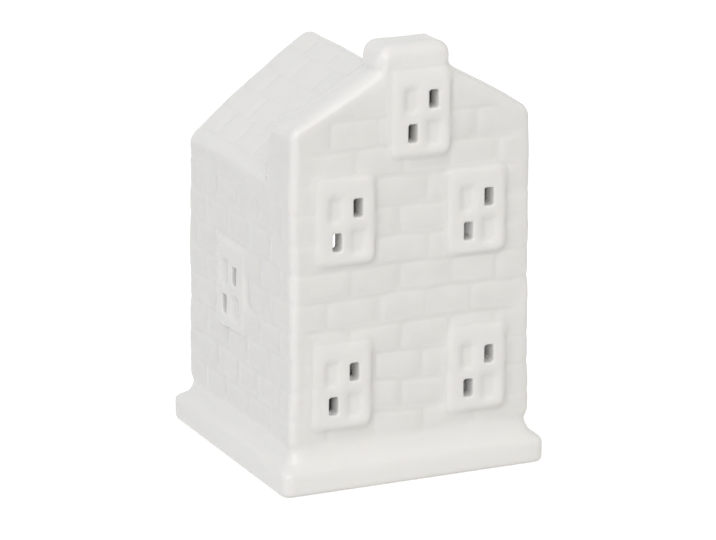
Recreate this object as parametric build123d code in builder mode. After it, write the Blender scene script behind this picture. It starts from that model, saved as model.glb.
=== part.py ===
"""A tealight house: a slip-cast porcelain house with pierced windows, and the tealight that stands in it.

Millimetres. X runs across the front, the front faces -Y and +Z is up. The origin is the middle of the
underside, on the surface that the house stands on.
"""

import os
from math import atan2, ceil, cos, degrees, hypot, radians, sin, tan

from build123d import *

os.makedirs("parts", exist_ok=True)

# Walls and roof
WALL_WIDTH = 70.5  # across the front, outside
WALL_DEPTH = 69.3  # front to back, outside
WALL_THICKNESS = 3.8  # of the cast porcelain, roof and chimney included
CORNER_ROUNDING = 2.2  # on the upright corners and round the edge of both gables
EAVE_HEIGHT = 82.5  # above the table
EAVE_ROUNDING = 4.0
ROOF_RISE = 26.7  # eave to ridge
RIDGE_ROUNDING = 3.4
SILL_RISE = 0.8  # floor and doorway sill, above the top of the cove
FLOOR_THICKNESS = 3.8

# Facade: the front wall, carried up past the roof as a gable
FACADE_DEPTH = 12.8
SHOULDER_RISE = 16.9  # eave to the foot of the gable
SHOULDER_ROUNDING = 4.0
GABLE_RISE = 20.2  # foot of the gable to where its slopes would meet
APEX_ROUNDING = 16.0  # over the slopes' meeting, inside the chimney

# Chimney: a plain block on the gable, flush with the front
CHIMNEY_WIDTH = 21.6
CHIMNEY_DEPTH = 13.4
CHIMNEY_X = 0.25  # its middle, beside the middle of the house
CHIMNEY_RISE = 6.98  # its top, above where the gable's slopes meet its sides
CHIMNEY_CORNER = 3.6
CHIMNEY_TOP_ROUNDING = 3.4

# Plinth: a cushion moulding all round, with a cove up to the wall
PLINTH_SIDE_OVERHANG = 3.8
PLINTH_FRONT_OVERHANG = 3.5
PLINTH_HEIGHT = 7.8
PLINTH_CORNER = 2.8
PLINTH_TOP_ROUNDING = 2.4
PLINTH_FOOT_ROUNDING = 1.2
COVE_REACH = 1.7
COVE_RISE = 3.0
COVE_DROP = 0.6  # how far below the plinth's top the cove begins
FOOT_RIM = 7.0  # width of the flat rim that the house stands on

# Brick and tile relief: shallow joints in a running bond
COURSE_HEIGHT = 8.14
BRICK_LENGTH = 14.2
JOINT_WIDTH = 1.5
JOINT_DEPTH = 0.7
TILE_JOINT_DEPTH = 0.45  # up the roof slopes
TILE_BED_DEPTH = 0.25  # along them
FIRST_JOINT_RISE = 3.95  # lowest joint, above the plinth
FRONT_BOND_OFFSET = 3.5  # upright joint nearest the middle of an even course
SIDE_BOND_OFFSET = 5.4
BOND_WANDER = 0.6  # how far an upright joint strays from its place
CORNER_BRICK = 4.5  # shortest brick left at a corner

# Windows: raised frames with sloping sides, two dished blind panes and two pierced ones
WINDOW_WIDTH = 16.0
WINDOW_HEIGHT = 21.8
WINDOW_CORNER = 3.6
WINDOW_PROUD = 1.3
FRAME_DRAFT = 50.0  # degrees
SIDE_FRAME_DRAFT = 22.0  # degrees, on the side walls
PANE_WIDTH = 4.8
PANE_HEIGHT = 7.6
PANE_DEPTH = 1.1
PANE_DRAFT = 38.0  # degrees
PANE_SPREAD = 2.95  # middle of a pane, beside the middle of its window
PANE_RISE = 4.5  # and above or below it
LEFT_PANE_SHIFT = 0.7  # how much further out the blind pane on the left is
HOLE_WIDTH = 3.0
HOLE_HEIGHT = 5.4
UPPER_WINDOW_X = 19.2
UPPER_WINDOW_Z = 72.6
UPPER_WINDOW_STEP = 0.6  # the left one stands this much higher and the right one lower
LOWER_WINDOW_X = 19.9
LOWER_WINDOW_Z = 27.85
WINDOW_DRIFT = 0.35  # how far both pairs stand to the left
GABLE_WINDOW_X = 2.1
GABLE_WINDOW_Z = 100.7
SIDE_WINDOW_Y = 3.9
SIDE_WINDOW_Z = 46.4

# Doorway: the arched opening in the back wall, down to the floor
DOOR_WIDTH = 45.0
DOOR_SPRING = 31.0  # where the arch begins, above the table

# Tealight: drawn cup, pressed wax, wick and the tab that holds it
CUP_DIAMETER = 38.0
CUP_HEIGHT = 15.0
CUP_WALL = 0.35
CUP_RIM = 0.7  # how far the rolled rim stands out
CUP_FOOT_ROUNDING = 1.2
WAX_CLEARANCE = 0.3
WAX_HEIGHT = 12.4
WAX_EDGE = 0.8
WAX_DISH = 0.6  # depth of the hollow pressed in its top
WICK_DIAMETER = 1.7
WICK_STANDING = 8.5  # above the wax
TAB_DIAMETER = 13.0
TAB_THICKNESS = 0.3
COLLAR_WALL = 0.35
COLLAR_HEIGHT = 4.0
WICK_CLEARANCE = 0.1

# Places that follow from those sizes
half_width = WALL_WIDTH / 2
half_depth = WALL_DEPTH / 2
ridge_height = EAVE_HEIGHT + ROOF_RISE
roof_pitch = atan2(ROOF_RISE, half_width)
roof_slope = hypot(half_width, ROOF_RISE)
shoulder_height = EAVE_HEIGHT + SHOULDER_RISE
gable_height = shoulder_height + GABLE_RISE
chimney_top = gable_height - GABLE_RISE / half_width * CHIMNEY_WIDTH / 2 + CHIMNEY_RISE
chimney_y = CHIMNEY_DEPTH / 2 - half_depth
facade_back = FACADE_DEPTH - half_depth
plinth_width = WALL_WIDTH + 2 * PLINTH_SIDE_OVERHANG
plinth_depth = WALL_DEPTH + 2 * PLINTH_FRONT_OVERHANG
cove_foot = PLINTH_HEIGHT - COVE_DROP
floor_height = cove_foot + COVE_RISE + SILL_RISE
half_door = DOOR_WIDTH / 2
first_joint = PLINTH_HEIGHT + FIRST_JOINT_RISE
OVERCUT = 1.0  # how far a cut runs past the face that it opens


def gable_corners(half, foot, eave, apex):
    """The five corners of a gable end, x and z."""
    return [(-half, foot), (half, foot), (half, eave), (0, apex), (-half, eave)]


def inner_gable(eave, apex):
    """A gable end of the full width, one wall thickness further in and standing on the floor."""
    pitch = atan2(apex - eave, half_width)
    inner_half = half_width - WALL_THICKNESS
    inner_apex = apex - WALL_THICKNESS / cos(pitch)
    return gable_corners(inner_half, floor_height, inner_apex - inner_half * tan(pitch), inner_apex)


def across(y):
    """The upright plane across the house at this depth, seen from the front."""
    return Plane.XZ.offset(-y)


# Walls and roof, from inside the facade to the back wall
with BuildPart() as walls:
    with BuildSketch(across(half_depth)) as wall_end:
        with BuildLine():
            Polyline(gable_corners(half_width, 0, EAVE_HEIGHT, ridge_height), close=True)
        make_face()
        fillet(wall_end.vertices().group_by(Axis.Y)[1], EAVE_ROUNDING)
        fillet(wall_end.vertices().group_by(Axis.Y)[-1], RIDGE_ROUNDING)
    extrude(amount=WALL_DEPTH - FACADE_DEPTH / 2)
    fillet(walls.faces().sort_by(Axis.Y)[-1].edges().sort_by(Axis.Z)[1:], CORNER_ROUNDING)

# Facade, a thicker gable of its own
with BuildPart() as facade:
    with BuildSketch(across(facade_back)) as facade_end:
        with BuildLine():
            Polyline(gable_corners(half_width, 0, shoulder_height, gable_height), close=True)
        make_face()
        fillet(facade_end.vertices().group_by(Axis.Y)[1], SHOULDER_ROUNDING)
        fillet(facade_end.vertices().group_by(Axis.Y)[-1], APEX_ROUNDING)
    extrude(amount=FACADE_DEPTH)
    front_edges = facade.faces().sort_by(Axis.Y)[0].edges().sort_by(Axis.Z)[1:]
    back_edges = facade.faces().sort_by(Axis.Y)[-1].edges().sort_by(Axis.Z)[1:]
    fillet(front_edges + back_edges, CORNER_ROUNDING)

# Chimney block, standing in the gable
with BuildPart() as chimney:
    with BuildSketch(Plane.XY.offset(shoulder_height)):
        with Locations((CHIMNEY_X, chimney_y)):
            RectangleRounded(CHIMNEY_WIDTH, CHIMNEY_DEPTH, CHIMNEY_CORNER)
    extrude(amount=chimney_top - shoulder_height)
    fillet(chimney.edges().group_by(Axis.Z)[-1], CHIMNEY_TOP_ROUNDING)

# Plinth with its cove
with BuildPart() as plinth:
    with BuildSketch():
        RectangleRounded(plinth_width, plinth_depth, PLINTH_CORNER)
    extrude(amount=PLINTH_HEIGHT)
    fillet(plinth.edges().group_by(Axis.Z)[-1], PLINTH_TOP_ROUNDING)
    fillet(plinth.edges().group_by(Axis.Z)[0], PLINTH_FOOT_ROUNDING)
    with BuildSketch(Plane.XY.offset(cove_foot)):
        RectangleRounded(
            WALL_WIDTH + 2 * COVE_REACH, WALL_DEPTH + 2 * COVE_REACH, CORNER_ROUNDING + COVE_REACH
        )
    extrude(amount=COVE_RISE, taper=degrees(atan2(COVE_REACH, COVE_RISE)))

# The hollow inside walls, facade and chimney
with BuildPart() as hollow:
    with BuildSketch(across(half_depth - WALL_THICKNESS)):
        with BuildLine():
            Polyline(inner_gable(EAVE_HEIGHT, ridge_height), close=True)
        make_face()
    extrude(amount=WALL_DEPTH - 2 * WALL_THICKNESS)
    with BuildSketch(across(facade_back - WALL_THICKNESS)):
        with BuildLine():
            Polyline(inner_gable(shoulder_height, gable_height), close=True)
        make_face()
    extrude(amount=FACADE_DEPTH - 2 * WALL_THICKNESS)
    with BuildSketch(Plane.XY.offset(shoulder_height)):
        with Locations((CHIMNEY_X, chimney_y)):
            Rectangle(CHIMNEY_WIDTH - 2 * WALL_THICKNESS, CHIMNEY_DEPTH - 2 * WALL_THICKNESS)
    extrude(amount=chimney_top - WALL_THICKNESS - shoulder_height)


def side_plane(side):
    """The outside of a side wall, -1 left and 1 right, with its first axis to the onlooker's right."""
    return Plane(origin=(side * half_width, 0, 0), x_dir=(0, side, 0), z_dir=(side, 0, 0))


def roof_plane(side):
    """The outside of a roof slope, -1 left and 1 right, starting at the eave."""
    return Plane(
        origin=(side * half_width, 0, EAVE_HEIGHT),
        x_dir=(0, side, 0),
        z_dir=(side * ROOF_RISE, 0, half_width),
    )


def bed_joints(low, high):
    """Heights of the bed joints from low to high, one course apart."""
    return [low + row * COURSE_HEIGHT for row in range(ceil((high - low) / COURSE_HEIGHT))]


def upright_joints(beds, left, right, offset, flat_top):
    """Upright joints of a running bond on these beds: the place, foot and head of each.

    flat_top gives the height up to which the wall is flat at a place along it.
    """
    joints = []
    reach = ceil((right - left) / BRICK_LENGTH)
    for row, bed in enumerate(beds):
        start = offset - (row % 2) * BRICK_LENGTH / 2
        for brick in range(-reach, reach + 1):
            place = start + brick * BRICK_LENGTH + BOND_WANDER * sin(2.4 * row + 1.7 * brick)
            head = min(bed + COURSE_HEIGHT, flat_top(place))
            if left + CORNER_BRICK < place < right - CORNER_BRICK and head > bed + COURSE_HEIGHT / 2:
                joints.append((place, bed, head))
    return joints


def gable_flat(place, eave, apex):
    """The height up to which a gable end is flat at a place across it, clear of its rounded edge."""
    pitch = atan2(apex - eave, half_width)
    return apex - (abs(place) + JOINT_WIDTH) * tan(pitch) - CORNER_ROUNDING / cos(pitch)


def gable_bed(bed, eave, apex):
    """Half the length of a bed joint across a gable end, clear of its rounded edge."""
    pitch = atan2(apex - eave, half_width)
    room = apex - bed - JOINT_WIDTH - CORNER_ROUNDING / cos(pitch)
    return min(half_width - CORNER_ROUNDING, room / tan(pitch))


# Where the side walls and the roof are flat, between the rounded eaves and the ridge
eave_flat = EAVE_HEIGHT - EAVE_ROUNDING * tan((radians(90) - roof_pitch) / 2)
ridge_flat = roof_slope - RIDGE_ROUNDING * tan(roof_pitch)

# Bed joints below the eaves run all round, and those above lie on one face each
round_beds = [bed for bed in bed_joints(first_joint, eave_flat) if bed + JOINT_WIDTH < eave_flat]
gables = [
    (across(-half_depth), shoulder_height, gable_height),
    (Plane(origin=(0, half_depth, 0), x_dir=(-1, 0, 0), z_dir=(0, 1, 0)), EAVE_HEIGHT, ridge_height),
]
relief = []  # plane, depth and bed joints as middle, height and length, then depth and upright joints
for plane, eave, apex in gables:
    beds = bed_joints(first_joint, apex)
    upper = [(0, bed, 2 * gable_bed(bed, eave, apex)) for bed in beds[len(round_beds):]]
    upper = [bed for bed in upper if bed[2] > CORNER_BRICK]
    uprights = upright_joints(
        beds, -half_width, half_width, FRONT_BOND_OFFSET, lambda place: gable_flat(place, eave, apex)
    )
    relief.append((plane, JOINT_DEPTH, upper, JOINT_DEPTH, uprights))
for side in (-1, 1):
    uprights = upright_joints(
        round_beds, -half_depth, half_depth, SIDE_BOND_OFFSET, lambda place: eave_flat
    )
    relief.append((side_plane(side), JOINT_DEPTH, [], JOINT_DEPTH, uprights))
    left, right = sorted((side * (facade_back + JOINT_WIDTH / 2), side * (half_depth - CORNER_ROUNDING)))
    tiles = bed_joints(COURSE_HEIGHT / 2, ridge_flat - JOINT_WIDTH)
    uprights = upright_joints(tiles, left, right, SIDE_BOND_OFFSET, lambda place: ridge_flat)
    rows = [((left + right) / 2, bed, right - left) for bed in tiles]
    relief.append((roof_plane(side), TILE_BED_DEPTH, rows, TILE_JOINT_DEPTH, uprights))

front_windows = [
    (-UPPER_WINDOW_X - WINDOW_DRIFT, UPPER_WINDOW_Z + UPPER_WINDOW_STEP),
    (UPPER_WINDOW_X - WINDOW_DRIFT, UPPER_WINDOW_Z - UPPER_WINDOW_STEP),
    (-LOWER_WINDOW_X - WINDOW_DRIFT, LOWER_WINDOW_Z),
    (LOWER_WINDOW_X - WINDOW_DRIFT, LOWER_WINDOW_Z),
    (GABLE_WINDOW_X, GABLE_WINDOW_Z),
]
glazing = [(across(-half_depth), FRAME_DRAFT, front_windows)]
for side in (-1, 1):
    glazing.append((side_plane(side), SIDE_FRAME_DRAFT, [(side * SIDE_WINDOW_Y, SIDE_WINDOW_Z)]))


# The house: one casting
with BuildPart() as house_shell:
    add(walls.part)
    add(facade.part)
    add(plinth.part)

    # Bed joints all round, at one depth on the walls and round the corners
    for bed in round_beds:
        with BuildSketch(Plane.XY.offset(bed - JOINT_WIDTH / 2)):
            Rectangle(WALL_WIDTH + 2 * OVERCUT, WALL_DEPTH + 2 * OVERCUT)
            RectangleRounded(
                WALL_WIDTH - 2 * JOINT_DEPTH,
                WALL_DEPTH - 2 * JOINT_DEPTH,
                CORNER_ROUNDING - JOINT_DEPTH,
                mode=Mode.SUBTRACT,
            )
    extrude(amount=JOINT_WIDTH, mode=Mode.SUBTRACT)

    # The other joints, on the flat of each wall and roof slope
    for plane, bed_depth, beds, upright_depth, uprights in relief:
        if beds:
            with BuildSketch(plane):
                for middle, bed, length in beds:
                    with Locations((middle, bed)):
                        Rectangle(length, JOINT_WIDTH)
            extrude(amount=-bed_depth, mode=Mode.SUBTRACT)
        with BuildSketch(plane):
            for place, foot, head in uprights:
                with Locations((place, (foot + head) / 2)):
                    Rectangle(JOINT_WIDTH, head - foot)
        extrude(amount=-upright_depth, mode=Mode.SUBTRACT)

    # The chimney covers the joints behind it, and the hollow runs up into it
    add(chimney.part)
    add(hollow.part, mode=Mode.SUBTRACT)

    # Window frames over the relief, then their panes
    for plane, draft, centres in glazing:
        frame_foot = 2 * JOINT_DEPTH * tan(radians(draft))
        with BuildSketch(plane.offset(-JOINT_DEPTH)):
            with Locations(*centres):
                RectangleRounded(WINDOW_WIDTH + frame_foot, WINDOW_HEIGHT + frame_foot, WINDOW_CORNER)
        extrude(amount=JOINT_DEPTH + WINDOW_PROUD, taper=draft)
        with BuildSketch(plane.offset(WINDOW_PROUD)):
            with Locations(*centres):
                with Locations((-PANE_SPREAD - LEFT_PANE_SHIFT, PANE_RISE), (PANE_SPREAD, -PANE_RISE)):
                    Rectangle(PANE_WIDTH, PANE_HEIGHT)
        extrude(amount=-PANE_DEPTH, taper=PANE_DRAFT, mode=Mode.SUBTRACT)
        with BuildSketch(plane.offset(WINDOW_PROUD)):
            with Locations(*centres):
                with Locations((PANE_SPREAD, PANE_RISE), (-PANE_SPREAD, -PANE_RISE)):
                    Rectangle(HOLE_WIDTH, HOLE_HEIGHT)
        extrude(amount=-(WALL_THICKNESS + WINDOW_PROUD + OVERCUT), mode=Mode.SUBTRACT)

    # Arched doorway in the back, level with the floor
    with BuildSketch(across(half_depth + OVERCUT)):
        with BuildLine():
            Polyline(
                (-half_door, DOOR_SPRING),
                (-half_door, floor_height),
                (half_door, floor_height),
                (half_door, DOOR_SPRING),
            )
            ThreePointArc((half_door, DOOR_SPRING), (0, DOOR_SPRING + half_door), (-half_door, DOOR_SPRING))
        make_face()
    extrude(amount=WALL_THICKNESS + 2 * OVERCUT, mode=Mode.SUBTRACT)

    # Recessed underside, so that the house stands on a flat rim and the floor is as thin as the walls
    with BuildSketch():
        RectangleRounded(plinth_width - 2 * FOOT_RIM, plinth_depth - 2 * FOOT_RIM, PLINTH_CORNER)
    extrude(amount=floor_height - FLOOR_THICKNESS, mode=Mode.SUBTRACT)

house_shell.part.label = "house_shell"
export_step(house_shell.part, "parts/house_shell.step")

# Tealight heights, from the floor of the house up
cup_radius = CUP_DIAMETER / 2
cup_bottom = floor_height
cup_top = cup_bottom + CUP_HEIGHT
wax_bottom = cup_bottom + CUP_WALL
wax_top = wax_bottom + WAX_HEIGHT
wax_radius = cup_radius - CUP_RIM - CUP_WALL - WAX_CLEARANCE
wick_bottom = wax_bottom + TAB_THICKNESS
collar_radius = WICK_DIAMETER / 2 + WICK_CLEARANCE + COLLAR_WALL
wick_bore = WICK_DIAMETER / 2 + WICK_CLEARANCE
cup_wall_radius = cup_radius - CUP_RIM
rim_radius = (CUP_RIM + CUP_WALL) / 2
dish_radius = wax_radius - 2 * WAX_EDGE

# Cup: thin drawn wall, rounded foot and a rolled rim
with BuildPart() as tealight_cup:
    with BuildSketch(Plane.XY.offset(cup_bottom)):
        Circle(cup_wall_radius)
    extrude(amount=CUP_HEIGHT)
    fillet(tealight_cup.edges().group_by(Axis.Z)[0], CUP_FOOT_ROUNDING)
    with BuildSketch(Plane.XY.offset(wax_bottom)):
        Circle(cup_wall_radius - CUP_WALL)
    inside = extrude(amount=CUP_HEIGHT, mode=Mode.PRIVATE)
    inside = inside.fillet(CUP_FOOT_ROUNDING - CUP_WALL, inside.edges().group_by(Axis.Z)[0])
    add(inside, mode=Mode.SUBTRACT)
    with BuildSketch(Plane.XZ):
        with Locations((cup_radius - rim_radius, cup_top - rim_radius)):
            Circle(rim_radius)
    revolve(axis=Axis.Z)
tealight_cup.part.label = "tealight_cup"
export_step(tealight_cup.part, "parts/tealight_cup.step")

# Wax: pressed block, rounded edges, dished top, with the bore and pocket for wick and tab
with BuildPart() as wax:
    with BuildSketch(Plane.XY.offset(wax_bottom)):
        Circle(wax_radius)
    extrude(amount=WAX_HEIGHT)
    fillet(wax.edges().group_by(Axis.Z)[0], CUP_FOOT_ROUNDING)
    fillet(wax.edges().group_by(Axis.Z)[-1], WAX_EDGE)
    with BuildSketch(Plane.XZ):
        with BuildLine():
            ThreePointArc((-dish_radius, wax_top), (0, wax_top - WAX_DISH), (dish_radius, wax_top))
            Line((dish_radius, wax_top), (-dish_radius, wax_top))
        make_face()
        split(bisect_by=Plane.YZ)
    revolve(axis=Axis.Z, mode=Mode.SUBTRACT)
    with BuildSketch(Plane.XY.offset(wax_bottom)):
        Circle(TAB_DIAMETER / 2 + WICK_CLEARANCE)
    extrude(amount=TAB_THICKNESS + WICK_CLEARANCE, mode=Mode.SUBTRACT)
    with BuildSketch(Plane.XY.offset(wax_bottom)):
        Circle(collar_radius + WICK_CLEARANCE)
    extrude(amount=TAB_THICKNESS + COLLAR_HEIGHT + WICK_CLEARANCE, mode=Mode.SUBTRACT)
    with BuildSketch(Plane.XY.offset(wax_bottom)):
        Circle(wick_bore)
    extrude(amount=WAX_HEIGHT, mode=Mode.SUBTRACT)
wax.part.label = "wax"
export_step(wax.part, "parts/wax.step")

# Wick: braided cotton, trimmed round at the top
with BuildPart() as wick:
    with BuildSketch(Plane.XY.offset(wick_bottom)):
        Circle(WICK_DIAMETER / 2)
    extrude(amount=wax_top + WICK_STANDING - wick_bottom)
    fillet(wick.edges().group_by(Axis.Z)[-1], WICK_DIAMETER / 4)
wick.part.label = "wick"
export_step(wick.part, "parts/wick.step")

# Wick tab: stamped disc with a collar crimped round the wick
with BuildPart() as wick_tab:
    with BuildSketch(Plane.XY.offset(wax_bottom)):
        Circle(TAB_DIAMETER / 2)
    extrude(amount=TAB_THICKNESS)
    with BuildSketch(Plane.XY.offset(wick_bottom)):
        Circle(collar_radius)
        Circle(wick_bore, mode=Mode.SUBTRACT)
    extrude(amount=COLLAR_HEIGHT)
wick_tab.part.label = "wick_tab"
export_step(wick_tab.part, "parts/wick_tab.step")
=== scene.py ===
"""The tealight house: a white glazed porcelain house with a tealight inside, on a plain pale floor."""

from functools import partial
from math import cos, pi, radians, sin

import bmesh
import bpy
from mathutils import Matrix, Vector


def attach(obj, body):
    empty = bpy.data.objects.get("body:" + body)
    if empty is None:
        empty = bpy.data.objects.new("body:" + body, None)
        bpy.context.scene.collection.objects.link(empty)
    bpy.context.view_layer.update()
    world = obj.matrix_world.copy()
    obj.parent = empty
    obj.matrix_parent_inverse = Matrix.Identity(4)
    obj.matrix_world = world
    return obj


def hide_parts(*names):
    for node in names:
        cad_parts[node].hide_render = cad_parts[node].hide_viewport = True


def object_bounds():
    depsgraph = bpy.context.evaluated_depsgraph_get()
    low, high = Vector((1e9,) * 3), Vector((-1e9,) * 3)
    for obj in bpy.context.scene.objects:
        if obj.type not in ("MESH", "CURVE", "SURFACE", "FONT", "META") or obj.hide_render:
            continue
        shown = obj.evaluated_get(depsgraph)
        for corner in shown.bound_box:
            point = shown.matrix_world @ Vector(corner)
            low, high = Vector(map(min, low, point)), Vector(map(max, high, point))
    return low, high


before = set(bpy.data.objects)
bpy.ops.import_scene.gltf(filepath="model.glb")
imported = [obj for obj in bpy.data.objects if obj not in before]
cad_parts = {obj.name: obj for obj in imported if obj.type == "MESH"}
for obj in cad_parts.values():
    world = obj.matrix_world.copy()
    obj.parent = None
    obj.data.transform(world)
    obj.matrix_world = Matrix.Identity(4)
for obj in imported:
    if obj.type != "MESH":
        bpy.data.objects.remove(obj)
cad_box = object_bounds()
MM = 0.001

# House: one slip-cast porcelain piece, with its bricks, roof tiles and window frames as low relief
# from the mould. A thick clear glaze rounds every edge and fills the joints to soft hollows, and
# the walls are a little uneven, as a casting is after drying and firing. Its sizes are in mm.
CAST_GRAIN = 0.36  # how finely the casting is drawn
CAST_TRIANGLES = 190000  # that are left of it at the end
MERGE_DISTANCE = 0.0005
CORNER_ROUNDING = 2.2
FRONT_FACE, SIDE_FACE, FACADE_BACK = -34.65, 35.25, -21.85
WALL_REACH = 6  # how far behind its face a spot still belongs to a wall
COURSE, BRICK, FIRST_BED = 8.14, 14.2, 11.75
FRONT_BOND, SIDE_BOND = 3.5, 5.4  # the upright joint nearest the middle of an even course
FRONT_WINDOWS = [(-19.55, 73.2), (18.85, 72.0), (-20.25, 27.85), (19.55, 27.85), (2.1, 100.7)]  # x and z
SIDE_WINDOW = (3.9, 46.4)  # y and z
WINDOW_SPINE, HOLE_SPINE = 5.0, 1.3  # half heights of the upright lines that they are drawn round
HOLE_PLACE = (2.95, 4.5)  # the upper right and lower left panes, from the middle of their window
PANES_HALF = (4.4, 2.3)  # the four panes, sideways and up from the spine
# The flat of a window's frame, from the spine; on the side walls, right is towards the back
FLAT_RIGHT, FLAT_LEFT, FLAT_TOP, FLAT_BOTTOM = 6.4, 7.2, 6.2, 4.3
FRAME_PROUD = 1.3
CHIMNEY_MIDDLE, CHIMNEY_HALF, CHIMNEY_TOP, CHIMNEY_ROUNDING = 0.25, 10.8, 120.39, 5.2
INNER_SIDE, INNER_FRONT = 31.5, 30.9  # just past the inner faces of the walls
THICKENING = (118, 84, -1.0, 5)  # of the facade behind: from and to which height, and by how much
TOP_FALL = 1.0  # of the facade's top, to the back


def settle(piece):
    """Makes what a piece's modifiers give its plain mesh, and removes them."""
    evaluated = piece.evaluated_get(bpy.context.evaluated_depsgraph_get())
    mesh = bpy.data.meshes.new_from_object(evaluated)
    piece.modifiers.clear()
    piece.data = mesh
    mesh.name = piece.name


def fill(tree, node, links):
    """Fills a node's inputs with values, outputs of others, or other nodes for their first live output."""
    for socket, value in links.items():
        if isinstance(value, bpy.types.Node):
            value = next(output for output in value.outputs if output.enabled)
        if isinstance(value, bpy.types.NodeSocket):
            tree.links.new(value, node.inputs[socket])
        else:
            node.inputs[socket].default_value = value


def add(tree, kind, links=(), **settings):
    """Adds a node: settings are its properties, links fill its inputs, by name or in their order.

    Links past its last input go on through more nodes of the same kind, as in a long product.
    """
    node = tree.nodes.new(kind)
    for name, value in settings.items():
        setattr(node, name, value)
    if isinstance(links, dict):
        fill(tree, node, links)
        return node
    live = [index for index, socket in enumerate(node.inputs) if socket.enabled]
    fill(tree, node, dict(zip(live, links)))
    rest = links[len(live):]
    return add(tree, kind, (node, *rest), **settings) if rest else node


def colour(code):
    """An sRGB hex colour as linear RGBA."""
    parts = [int(code[i:i + 2], 16) / 255 for i in (1, 3, 5)]
    return [p / 12.92 if p <= 0.04045 else ((p + 0.055) / 1.055) ** 2.4 for p in parts] + [1.0]


def per_mm(size):
    """The texture scale whose features are about this many millimetres across."""
    return 1000 / size


def new_material(name):
    """A material with its node tree, shader and object coordinates."""
    material = bpy.data.materials.new(name)
    material.use_nodes = True
    tree = material.node_tree
    return material, tree, tree.nodes["Principled BSDF"], add(tree, "ShaderNodeTexCoord").outputs["Object"]


# Short names for the kinds of node that are used most
MATHS, VECTORS, MIX = "ShaderNodeMath", "ShaderNodeVectorMath", "ShaderNodeMix"
RANGE, NOISE, BUMP = "ShaderNodeMapRange", "ShaderNodeTexNoise", "ShaderNodeBump"
SPLIT, JOIN, MOVE = "ShaderNodeSeparateXYZ", "ShaderNodeCombineXYZ", "GeometryNodeSetPosition"
BLUR, KEEP = "GeometryNodeBlurAttribute", "GeometryNodeStoreNamedAttribute"

# Glazed porcelain: a dense white, slightly translucent body under a clear glossy glaze, whose surface
# waves slightly. The bricked walls are a little greyer, and the joints and other hollows are darkened
# with painted shade. The foot is left bare, matt and creamier.
porcelain, tree, shader, place = new_material("glazed_porcelain")
cloud = add(tree, NOISE, {"Vector": place, "Scale": per_mm(38), "Detail": 2.0})
tone = add(tree, MIX, (cloud, colour("#F1F1EF"), colour("#ECECEB")), data_type="RGBA")
# The bricked walls, and the window frames less so, are drawn a little greyer
bricked = add(tree, "ShaderNodeAttribute", attribute_name="bricked").outputs["Fac"]
mottle = add(tree, NOISE, {"Vector": place, "Scale": per_mm(6), "Detail": 3.0})
mottle = add(tree, RANGE, (mottle, 0.35, 0.65, 0.6, 1.0))
grey = add(tree, MATHS, (bricked, mottle), operation="MULTIPLY")
tone = add(tree, MIX, (grey, tone, colour("#E8E8E6")), data_type="RGBA")
# Painted shade: the hollows are darkened by how far they lie below their surroundings
painted_shade = add(tree, "ShaderNodeAttribute", attribute_name="glaze_pool").outputs["Fac"]
painted_shade = add(tree, RANGE, (painted_shade, 0.0, 0.14, 0.0, 0.3))
tone = add(tree, MIX, (painted_shade, tone, colour("#DFDFDC")), data_type="RGBA")
level = add(tree, SPLIT, (place,)).outputs["Z"]
bare = add(tree, RANGE, (level, 0.15 * MM, 0.45 * MM, 1.0, 0.0))
tone = add(tree, MIX, (bare, tone, colour("#E9E2D4")), data_type="RGBA")
gloss = add(tree, NOISE, {"Vector": place, "Scale": per_mm(9), "Detail": 3.0})
gloss = add(tree, RANGE, (gloss, 0.3, 0.7, 0.16, 0.25))
matt = add(tree, RANGE, (bare, 0.0, 1.0, 0.0, 0.5))
peel = add(tree, NOISE, {"Vector": place, "Scale": per_mm(2.2), "Detail": 1.0})
fill(tree, shader, {
    "Base Color": tone,
    "Roughness": add(tree, MATHS, (gloss, matt), operation="ADD"),
    "Normal": add(tree, BUMP, {"Height": peel, "Strength": 0.3, "Distance": 0.02 * MM}),
    "IOR": 1.5,
    "Subsurface Weight": 0.25,
    "Subsurface Radius": (1.0, 0.85, 0.7),
    "Subsurface Scale": 1.2 * MM,
})


def new_tree(name, inputs):
    """A geometry tree with named inputs, and the value of each by its socket's identifier."""
    tree = bpy.data.node_groups.new(name, "GeometryNodeTree")
    tree.interface.new_socket("Geometry", in_out="INPUT", socket_type="NodeSocketGeometry")
    values = {}
    for label, value in inputs.items():
        kind = "NodeSocketInt" if isinstance(value, int) else "NodeSocketFloat"
        socket = tree.interface.new_socket(label, in_out="INPUT", socket_type=kind)
        values[socket.identifier] = value
    tree.interface.new_socket("Geometry", in_out="OUTPUT", socket_type="NodeSocketGeometry")
    return tree, values


def grow(piece, tree, values):
    """Gives a piece the plain mesh that a geometry tree makes of it."""
    modifier = piece.modifiers.new(tree.name, "NODES")
    modifier.node_group = tree
    for identifier, value in values.items():
        modifier[identifier] = value
    settle(piece)


# The casting's shape: soft joints and mouldings, crisper windows, wandering joints, leaning walls
casting, casting_values = new_tree("uneven_casting", {
    "Joint passes": 34,  # how far the glaze softens everything
    "Moulding passes": 40,  # and how much further the mouldings
    "Frame share": 0.3,  # of that softness at the window frames
    "Hole share": 0.01,  # and round the pierced panes
    "Hole narrowing": 0.22 * MM,  # by the glaze round the pierced panes
    "Outline share": 0.03,  # of the softness along the edges that make the outline
    "Frame tilt": 0.05,
    "Tile fill": 1.5,  # how much of the joints between tiles the glaze closes
    "Corner fill": 0.92,  # how much of a joint the glaze closes at the corners
    "Brick step": 0.35 * MM,
    "Wander": 2.2 * MM,
    "Wander size": 16 * MM,
    "Ripple": 0.5 * MM,
    "Ripple size": 9 * MM,
    "Left lean": 0.3 * MM,
    "Right lean": 0.75 * MM,
    "Lean height": 46 * MM,  # where the right wall stands true
    "Roof crown": 0.7 * MM,
    "Seed": 3.7,
})
cast = partial(add, casting)
FACING_PASSES, NEAR_PASSES, WIDE_PASSES = 24, 14, 30  # how far a spot's surroundings reach
given = cast("NodeGroupInput").outputs
position = cast("GeometryNodeInputPosition").outputs["Position"]
spot = cast(SPLIT, (position,)).outputs
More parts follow.
